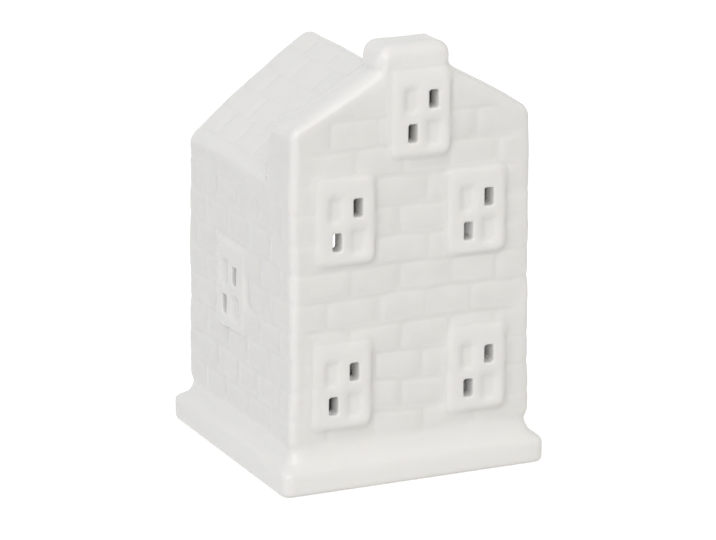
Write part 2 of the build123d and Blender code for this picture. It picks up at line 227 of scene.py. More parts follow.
height = spot["Z"]
beside = cast(MATHS, (spot["X"],), operation="ABSOLUTE")
from_middle = cast(MATHS, (spot["Y"],), operation="ABSOLUTE")


def zone(*edges, unit=MM):
    """A part of the house, as the product of soft edges.

    Each edge is a measure with two places on it, in mm unless unit says otherwise: it gives 0 at the
    first and 1 at the second, or two other values where they follow.
    """
    steps = []
    for measure, start, end, *limits in edges:
        links = (measure, start * unit, end * unit, *limits)
        steps.append(cast(RANGE, links, interpolation_type="SMOOTHSTEP"))
    return cast(MATHS, (1.0, *steps), operation="MULTIPLY")


def past_corner(u, v):
    """How far a spot lies from a rectangle, from how far it lies past its sides."""
    u = cast(MATHS, (u, 0.0), operation="MAXIMUM")
    v = cast(MATHS, (v, 0.0), operation="MAXIMUM")
    squares = [cast(MATHS, (side, side), operation="MULTIPLY") for side in (u, v)]
    return cast(MATHS, (cast(MATHS, squares, operation="ADD"),), operation="SQRT")


# Where the windows and their pierced panes are, whatever the depth in the wall
at_front = cast(MATHS, (spot["Y"], (FRONT_FACE + WALL_REACH) * MM), operation="LESS_THAN")
at_side = cast(MATHS, (beside, (SIDE_FACE - WALL_REACH) * MM), operation="GREATER_THAN")
hand = cast(MATHS, (spot["X"],), operation="SIGN")  # -1 on the left and 1 on the right
side_plane = cast(MATHS, (hand, SIDE_FACE * MM), operation="MULTIPLY")
on_wall = cast(JOIN, (
    cast(MIX, (at_side, spot["X"], side_plane)), cast(MIX, (at_front, spot["Y"], FRONT_FACE * MM)), height))
middles = [(x, FRONT_FACE, z) for x, z in FRONT_WINDOWS]
middles += [(side * SIDE_FACE, *SIDE_WINDOW) for side in (-1, 1)]
holes = []
for x, y, z in middles:
    for way in (-1, 1):
        aside, up = way * HOLE_PLACE[0], way * HOLE_PLACE[1]
        if y == FRONT_FACE:
            holes.append((x + aside, y, z + up))
        else:
            holes.append((x, y + aside * (1 if x > 0 else -1), z + up))
nearest = []
for places, half in ((holes, HOLE_SPINE), (middles, WINDOW_SPINE)):
    spines = cast("GeometryNodeJoinGeometry")
    for x, y, z in places:
        start, rise = (x * MM, y * MM, (z - half) * MM), (0, 0, 2 * half * MM)
        spine = cast("GeometryNodeMeshLine", {"Count": 2, "Start Location": start, "Offset": rise})
        fill(casting, spines, {"Geometry": spine})
    links = {"Geometry": spines, "Sample Position": on_wall}
    nearest.append(cast("GeometryNodeProximity", links, target_element="EDGES").outputs)
hole, window = nearest
inward = cast(VECTORS, (hole["Position"], on_wall), operation="SUBTRACT")
inward = cast(VECTORS, (inward,), operation="NORMALIZE")
narrower = cast(MATHS, (zone((hole["Distance"], 3.2, 2.1)), given["Hole narrowing"]), operation="MULTIPLY")
narrowing = cast(VECTORS, (inward, narrower), operation="SCALE")
shape = cast(MOVE, {"Geometry": given["Geometry"], "Offset": narrowing})
off_hole = zone((hole["Distance"], 1.8, 2.7))

# Round each window's spine, past_panes is how far a spot lies outside the panes, and past_flat how far
# outside the frame's flat, which reaches further up than the solid's, and to the left or the front
over = cast(VECTORS, (on_wall, window["Position"]), operation="SUBTRACT")
offset = cast(SPLIT, (over,)).outputs
flat = cast(VECTORS, (over, (1, 1, 0)), operation="MULTIPLY")
apart = cast(VECTORS, (flat,), operation="LENGTH")
sideways = cast(MATHS, (offset["X"], offset["Y"]), operation="ADD")
up_or_down = cast(MATHS, (offset["Z"],), operation="ABSOLUTE")
past_panes = past_corner(
    cast(MATHS, (apart, PANES_HALF[0] * MM), operation="SUBTRACT"),
    cast(MATHS, (up_or_down, PANES_HALF[1] * MM), operation="SUBTRACT"))
past_sides = []
for measure, most, least in ((sideways, FLAT_RIGHT, FLAT_LEFT), (offset["Z"], FLAT_TOP, FLAT_BOTTOM)):
    mirrored = cast(MATHS, (measure, -1.0), operation="MULTIPLY")
    past_most = cast(MATHS, (measure, most * MM), operation="SUBTRACT")
    past_least = cast(MATHS, (mirrored, least * MM), operation="SUBTRACT")
    past_sides.append(cast(MATHS, (past_most, past_least), operation="MAXIMUM"))
past_flat = past_corner(*past_sides)
on_flat = zone((past_flat, 1.9, 1.3), (apart, 13, 12))
off_window = cast(MATHS, (1.0, zone((past_flat, 4.2, 2.4), (apart, 15, 12))), operation="SUBTRACT")

# The frames are filled out to that flat, and stand a little further out at the bottom, and at the
# right or the back
away = cast(JOIN, (
    cast(MATHS, (at_side, hand), operation="MULTIPLY"), cast(MATHS, (at_front, -1.0), operation="MULTIPLY")))
past_side = cast(MATHS, (beside, SIDE_FACE * MM), operation="SUBTRACT")
past_front = cast(MATHS, (FRONT_FACE * MM, spot["Y"]), operation="SUBTRACT")
proud = cast(MIX, (at_front, past_side, past_front))
lacking = cast(MATHS, (FRAME_PROUD * MM, proud), operation="SUBTRACT")
lacking = cast(MATHS, (lacking, 0.0), operation="MAXIMUM")
off_panes = cast(MATHS, (past_panes, 0.9 * MM), operation="GREATER_THAN")
near_face = cast(MATHS, (proud, -1.2 * MM), operation="GREATER_THAN")
squared = cast(MATHS, (lacking, on_flat, off_panes, near_face), operation="MULTIPLY")
shape = cast(MOVE, {"Geometry": shape, "Offset": cast(VECTORS, (away, squared), operation="SCALE")})
slope = cast(MATHS, (sideways, offset["Z"]), operation="SUBTRACT")
in_front = cast(MATHS, (proud, -2.2 * MM), operation="GREATER_THAN")
tipped = cast(MATHS, (slope, given["Frame tilt"], on_flat, in_front), operation="MULTIPLY")
shape = cast(MOVE, {"Geometry": shape, "Offset": cast(VECTORS, (away, tipped), operation="SCALE")})

# Which way a wall faces, and its bricks: each stands a little proud of the next, or sunk
plain = cast("GeometryNodeInputNormal").outputs["Normal"]
smooth = cast(BLUR, (plain, FACING_PASSES, 1.0), data_type="FLOAT_VECTOR")
links = {"Geometry": shape, "Name": "facing", "Value": smooth}
shape = cast(KEEP, links, data_type="FLOAT_VECTOR", domain="POINT")
facing = cast("GeometryNodeInputNamedAttribute", ("facing",), data_type="FLOAT_VECTOR")
upward = cast(SPLIT, (facing,)).outputs["Z"]
steep = cast(MATHS, (upward,), operation="ABSOLUTE")
straight = cast(VECTORS, (facing, (0.5, 0.5, 0.5)), operation="ADD")  # then rounded to -1, 0 or 1
straight = cast(SPLIT, (cast(VECTORS, (straight, (1, 1, 1)), operation="SNAP"),)).outputs
along = cast(MATHS, (
    cast(MATHS, (spot["Y"], straight["X"]), operation="MULTIPLY"),
    cast(MATHS, (spot["X"], straight["Y"]), operation="MULTIPLY")), operation="SUBTRACT")
courses_up = cast(MATHS, (height, FIRST_BED * MM), operation="SUBTRACT")
courses_up = cast(MATHS, (courses_up, COURSE * MM), operation="DIVIDE")
row = cast(MATHS, (courses_up,), operation="FLOOR")
above_zero = cast(MATHS, (row, 10.0), operation="ADD")
odd = cast(MATHS, (above_zero, 2.0), operation="MODULO")
half_brick = cast(MATHS, (odd, BRICK * MM / 2), operation="MULTIPLY")
on_side_wall = cast(MATHS, (straight["X"],), operation="ABSOLUTE")
bond = cast(MIX, (on_side_wall, FRONT_BOND * MM, SIDE_BOND * MM))
column = cast(MATHS, (cast(MATHS, (along, bond), operation="SUBTRACT"), half_brick), operation="ADD")
column = cast(MATHS, (cast(MATHS, (column, BRICK * MM), operation="DIVIDE"),), operation="FLOOR")
wall = cast(MATHS, (straight["X"], cast(MATHS, (straight["Y"], 3.0), operation="MULTIPLY")), operation="ADD")
brick = cast(JOIN, (row, column, wall))
chance = cast("ShaderNodeTexWhiteNoise", (brick,), noise_dimensions="3D").outputs["Value"]
chance = cast(MATHS, (chance, 0.5), operation="SUBTRACT")
wall_face = cast(MATHS, (zone((steep, 0.4, 0.15), unit=1), zone((height, 12, 14.5))), operation="MULTIPLY")
below_chimney = zone((height, 103, 97))
step = cast(MATHS, (chance, given["Brick step"], wall_face, off_window, below_chimney), operation="MULTIPLY")
shape = cast(MOVE, {"Geometry": shape, "Offset": cast(VECTORS, (facing, step), operation="SCALE")})

# The glaze fills the joints unevenly, and nearly closes them at the corners of the house
links = {"Vector": position, "W": given["Seed"], "Scale": per_mm(21), "Detail": 1.0}
patches = cast(NOISE, links, noise_dimensions="4D")
FAR_UP = 1.0  # in metres, so that height plays no part
inner = ((SIDE_FACE - CORNER_ROUNDING) * MM, (-FRONT_FACE - CORNER_ROUNDING) * MM, FAR_UP)
reach = cast(VECTORS, (cast(VECTORS, (position,), operation="ABSOLUTE"), inner), operation="SUBTRACT")
reach = cast(VECTORS, (reach, (0, 0, 0)), operation="MAXIMUM")
depth = cast(MATHS, (CORNER_ROUNDING * MM, cast(VECTORS, (reach,), operation="LENGTH")), operation="SUBTRACT")
depth = cast(MATHS, (depth, 0.0), operation="MAXIMUM")
outward = cast(VECTORS, (
    cast(VECTORS, (reach,), operation="NORMALIZE"),
    cast(VECTORS, (position,), operation="SIGN")), operation="MULTIPLY")
upright = zone(
    (beside, SIDE_FACE - 7, SIDE_FACE - 2), (from_middle, -FRONT_FACE - 7, -FRONT_FACE - 2))
course = cast(MATHS, (cast(MATHS, (courses_up, 0.5), operation="ADD"),), operation="FRACT")
off_bed = cast(MATHS, (cast(MATHS, (course, 0.5), operation="SUBTRACT"),), operation="ABSOLUTE")
off_bed = cast(MATHS, (off_bed, COURSE * MM), operation="MULTIPLY")
bed_fill = cast(MATHS, (zone((off_bed, 1.3, 0.9)), zone((height, 56, 76, 0.35, 1.0))), operation="MULTIPLY")
filled = cast(MIX, (at_side, zone((patches, 0.48, 1.0), unit=1), bed_fill))
filled = cast(MATHS, (filled, zone((height, 101, 105))), operation="MAXIMUM")  # beside the chimney
filled = cast(MIX, (upright, filled, given["Corner fill"]))
doorway = zone((spot["Y"], 26, 30), (beside, 31, 25), (height, 64, 56))
off_doorway = cast(MATHS, (1.0, doorway), operation="SUBTRACT")
shallow = zone((depth, 1.2, 0.9))
filled = cast(MATHS, (depth, filled, shallow, wall_face, off_window, off_doorway), operation="MULTIPLY")
shape = cast(MOVE, {"Geometry": shape, "Offset": cast(VECTORS, (outward, filled), operation="SCALE")})

# The edges that make the outline stay as they were cast; the cove above the plinth, the tiles and
# the corner between roof and facade are softer than the joints
around = cast(BLUR, (position, NEAR_PASSES, 1.0), data_type="FLOAT_VECTOR")
sunk = cast(VECTORS, (around, position), operation="SUBTRACT")
sunk = cast(VECTORS, (sunk, plain), operation="DOT_PRODUCT")
under_roof = zone((height, 76, 80))
behind = zone((spot["Y"], FACADE_BACK + 1, FACADE_BACK + 4))
before = cast(MATHS, (1.0, behind), operation="SUBTRACT")
facade_top = zone((spot["Y"], FRONT_FACE + 4, FRONT_FACE + 7), (height, 82, 88))
crisp = cast(MATHS, (
    upright,
    zone((height, 4.5, 3)),  # the foot
    zone((height, 9.5, 8, 0.0, 0.6)),  # the plinth's shoulder
    zone((height, 111, 114, 0.0, 0.8)),  # the chimney's top
    cast(MATHS, (zone((spot["Y"], 28, 31)), under_roof), operation="MULTIPLY"),  # the roof's back edge
    cast(MATHS, (zone((beside, 6, 3), (height, 100, 104)), behind), operation="MULTIPLY"),  # the ridge
    cast(MATHS, (zone((beside, 29, 32), (height, 74, 78)), behind), operation="MULTIPLY"),  # the eaves
    cast(MATHS, (facade_top, before), operation="MULTIPLY"),
), operation="MAXIMUM")
not_crisp = cast(MATHS, (1.0, crisp), operation="SUBTRACT")
cove = cast(MATHS, (zone((height, 6.5, 8), (height, 14.5, 11.5)), 0.6), operation="MULTIPLY")
off_facade = cast(MATHS, (spot["Y"], FACADE_BACK * MM), operation="SUBTRACT")
off_facade = cast(MATHS, (off_facade,), operation="ABSOLUTE")
corner = zone((off_facade, 5.5, 3), (height, 76, 82), (sunk, -0.02, 0.06))
on_roof = zone((upward, 0.25, 0.5), unit=1)
roof = cast(MATHS, (on_roof, under_roof, not_crisp, 0.5), operation="MULTIPLY")
worn = cast(MATHS, (zone((patches, 0.5, 0.66), unit=1), not_crisp, 0.3), operation="MULTIPLY")
softer = cast(MATHS, (cove, corner, roof, worn), operation="MAXIMUM")
softer = cast(MATHS, (softer, off_window), operation="MULTIPLY")

# Painted shade in the hollows, by how far a spot lies below its surroundings; and where the walls are
# bricked, which are drawn a little greyer, the window frames less so
shade_in_hollows = cast(MATHS, (sunk, 1 / MM, zone((height, 12, 14))), operation="MULTIPLY")
front_bricks = zone((beside, 34.6, 32.5), (spot["Y"], FRONT_FACE + 6, FRONT_FACE + 4))
side_bricks = zone((from_middle, 34, 31.5), (beside, SIDE_FACE - 6, SIDE_FACE - 4))
bricked = cast(MATHS, (front_bricks, side_bricks), operation="MAXIMUM")
greyer = cast(MIX, (off_window, 0.6, 1.0))
bricked = cast(MATHS, (bricked, greyer, wall_face, zone((height, 113, 104))), operation="MULTIPLY")
for name, value in (("softer", softer), ("glaze_pool", shade_in_hollows), ("bricked", bricked)):
    links = {"Geometry": shape, "Name": name, "Value": value}
    shape = cast(KEEP, links, data_type="FLOAT", domain="POINT")
share = cast(MIX, (off_window, given["Frame share"], cast(MIX, (crisp, 1.0, given["Outline share"]))))
share = cast(MIX, (off_hole, given["Hole share"], share))
kept_softer = cast("GeometryNodeInputNamedAttribute", ("softer",), data_type="FLOAT")
for passes, weight in ((given["Joint passes"], share), (given["Moulding passes"], kept_softer)):
    softened = cast(BLUR, (position, passes, weight), data_type="FLOAT_VECTOR")
    shape = cast(MOVE, {"Geometry": shape, "Position": softened})

# The glaze nearly closes the joints between the roof tiles and evens out the cove above the plinth,
# and the roof is crowned a little
around = cast(BLUR, (position, WIDE_PASSES, 1.0), data_type="FLOAT_VECTOR")
hollow = cast(VECTORS, (around, position), operation="SUBTRACT")
hollow = cast(MATHS, (cast(VECTORS, (hollow, plain), operation="DOT_PRODUCT"), 0.0), operation="MAXIMUM")
past_facade = zone((spot["Y"], FACADE_BACK + 3, FACADE_BACK + 6))
tiled = cast(MATHS, (on_roof, zone((height, 79, 82)), past_facade), operation="MULTIPLY")
out_of_doors = cast(MATHS, (
    cast(MATHS, (beside, SIDE_FACE * MM), operation="DIVIDE"),
    cast(MATHS, (from_middle, -FRONT_FACE * MM), operation="DIVIDE")), operation="MAXIMUM")
in_cove = cast(MATHS, (
    zone((height, 6.5, 8), (height, 13, 11)), zone((out_of_doors, 0.94, 0.97), unit=1)), operation="MULTIPLY")
tiled = cast(MATHS, (tiled, in_cove), operation="MAXIMUM")
closed = cast(MATHS, (hollow, tiled, given["Tile fill"]), operation="MULTIPLY")
shape = cast(MOVE, {"Geometry": shape, "Offset": cast(VECTORS, (facing, closed), operation="SCALE")})
roof_middle = zone((height, 82, 92), (height, 109, 100))
rising = zone((upward, 0.1, 0.4), unit=1)
crown = cast(MATHS, (roof_middle, rising, behind, given["Roof crown"]), operation="MULTIPLY")
shape = cast(MOVE, {"Geometry": shape, "Offset": cast(VECTORS, (facing, crown), operation="SCALE")})

# The chimney's upper corners are rounder still
side = cast(MATHS, (spot["X"], CHIMNEY_MIDDLE * MM), operation="SUBTRACT")
out_u = cast(MATHS, (side,), operation="ABSOLUTE")
out_u = cast(MATHS, (out_u, (CHIMNEY_HALF - CHIMNEY_ROUNDING) * MM), operation="SUBTRACT")
out_u = cast(MATHS, (out_u, 0.0), operation="MAXIMUM")
out_v = cast(MATHS, (height, (CHIMNEY_TOP - CHIMNEY_ROUNDING) * MM), operation="SUBTRACT")
out_v = cast(MATHS, (out_v, 0.0), operation="MAXIMUM")
past = cast(MATHS, (past_corner(out_u, out_v), CHIMNEY_ROUNDING * MM), operation="SUBTRACT")
past = cast(MATHS, (past, 0.0), operation="MAXIMUM")
at_top = cast(MATHS, (out_v, 0.0), operation="GREATER_THAN")
past = cast(MATHS, (past, zone((spot["Y"], -18, -20)), at_top), operation="MULTIPLY")
back_u = cast(MATHS, (cast(MATHS, (side,), operation="SIGN"), out_u, -1.0), operation="MULTIPLY")
back_v = cast(MATHS, (out_v, -1.0), operation="MULTIPLY")
inwards = cast(VECTORS, (cast(JOIN, {"X": back_u, "Z": back_v}),), operation="NORMALIZE")
shape = cast(MOVE, {"Geometry": shape, "Offset": cast(VECTORS, (inwards, past), operation="SCALE")})

# Unevenness runs mostly along the walls; the foot and the floor inside stay flat
outside = cast(MATHS, (
    cast(MATHS, (beside, INNER_SIDE * MM), operation="DIVIDE"),
    cast(MATHS, (from_middle, INNER_FRONT * MM), operation="DIVIDE")), operation="MAXIMUM")
loose = cast(MATHS, (zone((outside, 1.0, 1.05), unit=1), zone((height, 13, 18))), operation="MAXIMUM")
at_window, at_doorway = cast(MIX, (off_window, 0.1, 1.0)), cast(MIX, (doorway, 1.0, 0.15))
loose = cast(MATHS, (loose, zone((height, 1, 9)), at_window, at_doorway), operation="MULTIPLY")
drifts = []
for amount, size, through in (("Wander", "Wander size", 0.2), ("Ripple", "Ripple size", 0.6)):
    scale = cast(MATHS, (1.0, given[size]), operation="DIVIDE")
    links = {"Vector": position, "W": given["Seed"], "Scale": scale, "Detail": 0.0}
    noise = cast(NOISE, links, noise_dimensions="4D").outputs["Color"]
    drift = cast(VECTORS, (noise, (0.5, 0.5, 0.5)), operation="SUBTRACT")
    amount = cast(MATHS, (given[amount], loose), operation="MULTIPLY")
    drift = cast(VECTORS, (drift, amount), operation="SCALE")
    bulge = cast(VECTORS, (drift, facing), operation="DOT_PRODUCT")
    bulge = cast(MATHS, (bulge, 1 - through), operation="MULTIPLY")
    bulge = cast(VECTORS, (facing, bulge), operation="SCALE")
    drifts.append(cast(VECTORS, (drift, bulge), operation="SUBTRACT"))

# The left wall stands out a little all the way up, and the right one leans in towards its top
left = cast(MATHS, (spot["X"], SIDE_FACE * MM), operation="DIVIDE")
left = cast(MATHS, (left, 0.0), operation="MINIMUM")
left = cast(MATHS, (left, given["Left lean"]), operation="MULTIPLY")
inclined = cast(MATHS, (height, given["Lean height"]), operation="DIVIDE")
inclined = cast(MATHS, (1.0, inclined), operation="SUBTRACT")
right = cast(MATHS, (zone((spot["X"], 27, SIDE_FACE)), inclined, given["Right lean"]), operation="MULTIPLY")
lean = cast(MATHS, (left, right), operation="ADD")
lean = cast(JOIN, {"X": cast(MATHS, (lean, zone((height, 4, 14))), operation="MULTIPLY")})
shape = cast(MOVE, {"Geometry": shape, "Offset": cast(VECTORS, (*drifts, lean), operation="ADD")})

# The facade thickens downwards behind, where it meets the roof, and its top falls away to the back
thicker = cast(RANGE, (height, *[size * MM for size in THICKENING]))
slid = zone((spot["Y"], -32, -22), (spot["Y"], 25, -14), (height, 74, 84))
fall = zone((spot["Y"], -31, -23), (spot["Y"], -12, -17), (height, 88, 96), (height, 116, 113))
settling = cast(JOIN, {
    "Y": cast(MATHS, (thicker, slid), operation="MULTIPLY"),
    "Z": cast(MATHS, (fall, -TOP_FALL * MM), operation="MULTIPLY")})
shape = cast(MOVE, {"Geometry": shape, "Offset": settling})

# Nothing stands out past the casting's own size
bounded = cast(VECTORS, (position, cad_box[0]), operation="MAXIMUM")
bounded = cast(VECTORS, (bounded, cad_box[1]), operation="MINIMUM")
shape = cast(MOVE, {"Geometry": shape, "Position": bounded})
shape = cast("GeometryNodeRealizeInstances", {"Geometry": shape})
shape = cast("GeometryNodeSetMaterial", {"Geometry": shape, "Material": porcelain})
cast("NodeGroupOutput", {"Geometry": shape})

# The solid's loose triangles are joined, and it is cast, glazed and thinned
house = bpy.data.objects.new("porcelain_house", bpy.data.meshes.new("porcelain_house"))
bpy.context.scene.collection.objects.link(house)
merged = bmesh.new()
merged.from_mesh(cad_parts["house_shell"].data)
bmesh.ops.remove_doubles(merged, verts=merged.verts, dist=MERGE_DISTANCE * MM)
merged.to_mesh(house.data)
merged.free()
mould = house.modifiers.new("mould", "REMESH")
mould.mode = "VOXEL"
mould.voxel_size = CAST_GRAIN * MM
settle(house)
grow(house, casting, casting_values)
thin = house.modifiers.new("thin", "DECIMATE")
thin.ratio = min(1.0, CAST_TRIANGLES / (2 * len(house.data.polygons)))
settle(house)
house.data.shade_smooth()
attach(house, "house")
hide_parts("house_shell")

# Tealight cup: drawn from one disc of thin aluminium, with a rolled rim, a rounded foot and a
# shallow ring stamped in its base. It stands loose on the floor of the house. Sizes are in mm.
CUP_FOOT = 11.0  # height of its underside, on the floor of the house
CUP_WALL, CUP_INSIDE, CUP_ROUNDING, CUP_INNER_ROUNDING = 18.3, 17.95, 1.2, 0.85
RIM_MIDDLE, RIM_HEIGHT, RIM_RADIUS = 18.475, 14.475, 0.525
FLUTES, FLUTE_DEPTH = 48, 0.04
FLUTE_START, FLUTE_END = 2, 13.5  # heights above the foot
FADE_IN, FADE_OUT = 3, 2  # over which the flutes come and go


def arc(middle, radius, start, stop, count=10):
    """Points on part of a circle, as radius from the axis and height, angles in degrees."""
    turns = [radians(start + (stop - start) * i / count) for i in range(count + 1)]
    return [(middle[0] + radius * cos(turn), middle[1] + radius * sin(turn)) for turn in turns]


def turned(name, profile, steps, material, change):
    """A turned piece: a closed profile of radius and height in mm, swept round the Z axis.

    A profile that starts and ends on the axis closes there. change bends each point by its angle.
    """
    on_axis = profile[0][0] == 0
    ring = profile[1:-1] if on_axis else profile
    points, faces, count = [], [], len(ring)
    for step in range(steps):
        angle = 2 * pi * step / steps
        for r, z in ring:
            r, z = change(angle, r, z)
            points.append((r * cos(angle) * MM, r * sin(angle) * MM, z * MM))
        after = (step + 1) % steps
        for i in range(count - 1 if on_axis else count):
            j = (i + 1) % count
            faces.append((step * count + i, after * count + i, after * count + j, step * count + j))
    if on_axis:
        points += [(0, 0, profile[0][1] * MM), (0, 0, profile[-1][1] * MM)]
        for step in range(steps):
            after = (step + 1) % steps
            faces.append((len(points) - 2, after * count, step * count))
            faces.append((len(points) - 1, step * count + count - 1, after * count + count - 1))
    mesh = bpy.data.meshes.new(name)
    mesh.from_pydata(points, [], faces)
    mesh.materials.append(material)
    mesh.shade_smooth()
    piece = bpy.data.objects.new(name, mesh)
    bpy.context.scene.collection.objects.link(piece)
    return piece


# Drawn aluminium: bright, with upright streaks from the die that blur its reflections. Real streaks
# are too fine to show, so they are drawn coarser.
aluminium, tree, shader, place = new_material("drawn_aluminium")
streaked = add(tree, "ShaderNodeMapping", {"Vector": place, "Scale": (1, 1, 0.03)})
streaks = add(tree, NOISE, {"Vector": streaked, "Scale": per_mm(0.5), "Detail": 4.0})
fill(tree, shader, {
    "Base Color": add(tree, MIX, (streaks, colour("#D3D4D6"), colour("#E6E7E8")), data_type="RGBA"),
    "Roughness": add(tree, RANGE, (streaks, 0.3, 0.7, 0.2, 0.36)),
    "Normal": add(tree, BUMP, {"Height": streaks, "Strength": 0.2, "Distance": 0.02 * MM}),
    "Metallic": 1.0,
})

base = CUP_FOOT
rounding_middle = (CUP_WALL - CUP_ROUNDING, base + CUP_ROUNDING)
underside = [(0, 0.12), (6.0, 0.12), (11.6, 0.12), (12.2, 0.06), (12.8, 0), (16.6, 0)]
floor_inside = [(16.4, 0.35), (13.0, 0.35), (12.4, 0.33), (11.8, 0.3), (6.0, 0.3), (0, 0.3)]
profile = [(r, base + z) for r, z in underside]
profile += arc(rounding_middle, CUP_ROUNDING, -80, 0)
profile += [(CUP_WALL, base + z) for z in (3.5, 6.0, 8.5, 11.0, 13.2)]
profile += arc((RIM_MIDDLE, base + RIM_HEIGHT), RIM_RADIUS, -100, 180, 22)
profile += [(CUP_INSIDE, base + z) for z in (13.0, 10.0, 7.0, 4.0)]
profile += arc(rounding_middle, CUP_INNER_ROUNDING, 0, -80)
profile += [(r, base + z) for r, z in floor_inside]


def drawn(angle, r, z):
    """The slight fluting that drawing leaves up the wall, fading at the foot and the rim."""
    below = max(0.0, min(1.0, (z - CUP_FOOT - FLUTE_START) / FADE_IN))
    above = max(0.0, min(1.0, (CUP_FOOT + FLUTE_END - z) / FADE_OUT))
    return r - FLUTE_DEPTH * (below * above) * (0.5 + 0.5 * cos(FLUTES * angle)), z


cup = turned("aluminium_cup", profile, steps=288, material=aluminium, change=drawn)
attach(cup, "tealight")
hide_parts("tealight_cup")

# Wick tab: a stamped steel disc with a raised ring for stiffness, and a collar drawn up in the
# middle and crimped in four places round the foot of the wick. Sizes are in mm.
TAB_FOOT, TAB_THICKNESS, BEAD_HEIGHT = CUP_FOOT + 0.35, 0.3, 0.07
COLLAR_RADIUS, COLLAR_BORE, COLLAR_TOP = 1.3, 0.95, 4.15
LIP_MIDDLE, LIP_RADIUS = 1.125, 0.175  # of the round lip on top of the collar
CRIMPS, CRIMP_DEPTH, CRIMP_HEIGHT, CRIMP_REACH = 4, 0.07, 2.6, 1.3

# Stamped steel: plain grey, with a rolled grain and slightly uneven gloss. The grain is drawn
# coarser than real, so that it shows.
steel, tree, shader, place = new_material("stamped_steel")
rolled = add(tree, "ShaderNodeMapping", {"Vector": place, "Scale": (1, 0.05, 1)})
grain = add(tree, NOISE, {"Vector": rolled, "Scale": per_mm(0.3), "Detail": 3.0})
fill(tree, shader, {
    "Base Color": add(tree, MIX, (grain, colour("#A9AAAC"), colour("#C2C3C4")), data_type="RGBA"),
    "Roughness": add(tree, RANGE, (grain, 0.3, 0.7, 0.28, 0.46)),
    "Metallic": 1.0,
})

base = TAB_FOOT
rim = [(0, 0), (3.0, 0), (6.3, 0), (6.46, 0.05), (6.5, 0.15), (6.46, 0.25), (6.3, TAB_THICKNESS)]
bead = [(r, BEAD_HEIGHT * sin(pi * (5.4 - r) / 1.2)) for r in (5.4, 5.2, 5.0, 4.8, 4.6, 4.4, 4.2)]
collar_foot = [(2.2, TAB_THICKNESS), (1.75, 0.36), (1.5, 0.5), (1.35, 0.75), (COLLAR_RADIUS, 1.1)]
profile = [(r, base + z) for r, z in rim]
profile += [(r, base + TAB_THICKNESS + z) for r, z in bead]
profile += [(r, base + z) for r, z in collar_foot]
profile += [(COLLAR_RADIUS, base + z) for z in (1.4, 1.8, 2.2, 2.6, 3.0, 3.4, 3.8, COLLAR_TOP)]
profile += arc((LIP_MIDDLE, base + COLLAR_TOP), LIP_RADIUS, 0, 180, 6)[1:]
profile += [(COLLAR_BORE, base + z) for z in (3.8, 3.4, 3.0, 2.6, 2.2, 1.8, 1.4, 1.0, 0.5)]
profile += [(0.9, base + 0.32), (0, base + TAB_THICKNESS)]


def crimped(angle, r, z):
    """Four dents round the collar."""
    middle = max(0.0, 1 - abs(z - TAB_FOOT - CRIMP_HEIGHT) / CRIMP_REACH)
    return r - CRIMP_DEPTH * middle * max(0.0, cos(CRIMPS * angle)) ** 2, z


tab = turned("steel_wick_tab", profile, steps=120, material=steel, change=crimped)
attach(tab, "candle")
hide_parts("wick_tab")

# Wick: a round braid of eight waxed cotton yarns, held upright in the tab's collar and trimmed
# above the wax.

# Waxed cotton: cream, soft and fibrous, a little shiny where the wax has soaked in. Its fibres are
# drawn coarser than real, so that they show.
cotton, tree, shader, place = new_material("waxed_cotton")
fibres = add(tree, NOISE, {"Vector": place, "Scale": per_mm(0.15), "Detail": 4.0})
fill(tree, shader, {
    "Base Color": add(tree, MIX, (fibres, colour("#EBE5D6"), colour("#F8F4EA")), data_type="RGBA"),
    "Roughness": add(tree, RANGE, (fibres, 0.3, 0.7, 0.55, 0.8)),
    "Normal": add(tree, BUMP, {"Height": fibres, "Strength": 0.5, "Distance": 0.03 * MM}),
    "Sheen Weight": 0.2,
})

braid, braid_values = new_tree("round_braid", {
    "Yarns each way": 4,
    "Turns": 5.0,
    "Foot": (CUP_FOOT + 0.8) * MM,
    "Length": 20.25 * MM,
    "Radius": 0.5 * MM,
    "Yarn radius": 0.21 * MM,
    "Weave": 0.1 * MM,  # how far a yarn goes in and out
})
lay = partial(add, braid)
POINTS_A_TURN, YARN_SIDES = 32, 10
given = lay("NodeGroupInput").outputs
yarns = lay("GeometryNodeJoinGeometry")
for reverse, phase in ((False, 0.0), (True, pi)):
    radius, count = given["Radius"], given["Yarns each way"]
    helix = lay("GeometryNodeCurveSpiral", (
        POINTS_A_TURN, given["Turns"], radius, radius, given["Length"], reverse))
    run = lay("GeometryNodeSplineParameter").outputs["Factor"]
    waves = lay(MATHS, (given["Turns"], count, run), operation="MULTIPLY")
    turn = lay(MATHS, (waves, 2 * pi, phase), operation="MULTIPLY_ADD")
    lift = lay(MATHS, (lay(MATHS, (turn,), operation="SINE"), given["Weave"]), operation="MULTIPLY")
    here = lay("GeometryNodeInputPosition")
    outward = lay(VECTORS, (lay(VECTORS, (here, (1, 1, 0)), operation="MULTIPLY"),), operation="NORMALIZE")
    weaving = lay(VECTORS, (outward, lift), operation="SCALE")
    woven = lay(MOVE, {"Geometry": helix, "Offset": weaving})
    single = lay("GeometryNodeGeometryToInstance", {"Geometry": woven})
    several = lay("GeometryNodeDuplicateElements", {"Geometry": single, "Amount": count}, domain="INSTANCE")
    part = lay(MATHS, (several.outputs["Duplicate Index"], count), operation="DIVIDE")
    around = lay(JOIN, {"Z": lay(MATHS, (part, 2 * pi), operation="MULTIPLY")})
    ring = lay("GeometryNodeRotateInstances", {"Instances": several.outputs["Geometry"], "Rotation": around})
    fill(braid, yarns, {"Geometry": ring})
curves = lay("GeometryNodeRealizeInstances", {"Geometry": yarns})
section = lay("GeometryNodeCurvePrimitiveCircle", (YARN_SIDES, given["Yarn radius"]))
tubes = lay("GeometryNodeCurveToMesh", {"Curve": curves, "Profile Curve": section, "Fill Caps": True})
stood = lay(MOVE, {"Geometry": tubes, "Offset": lay(JOIN, {"Z": given["Foot"]})})
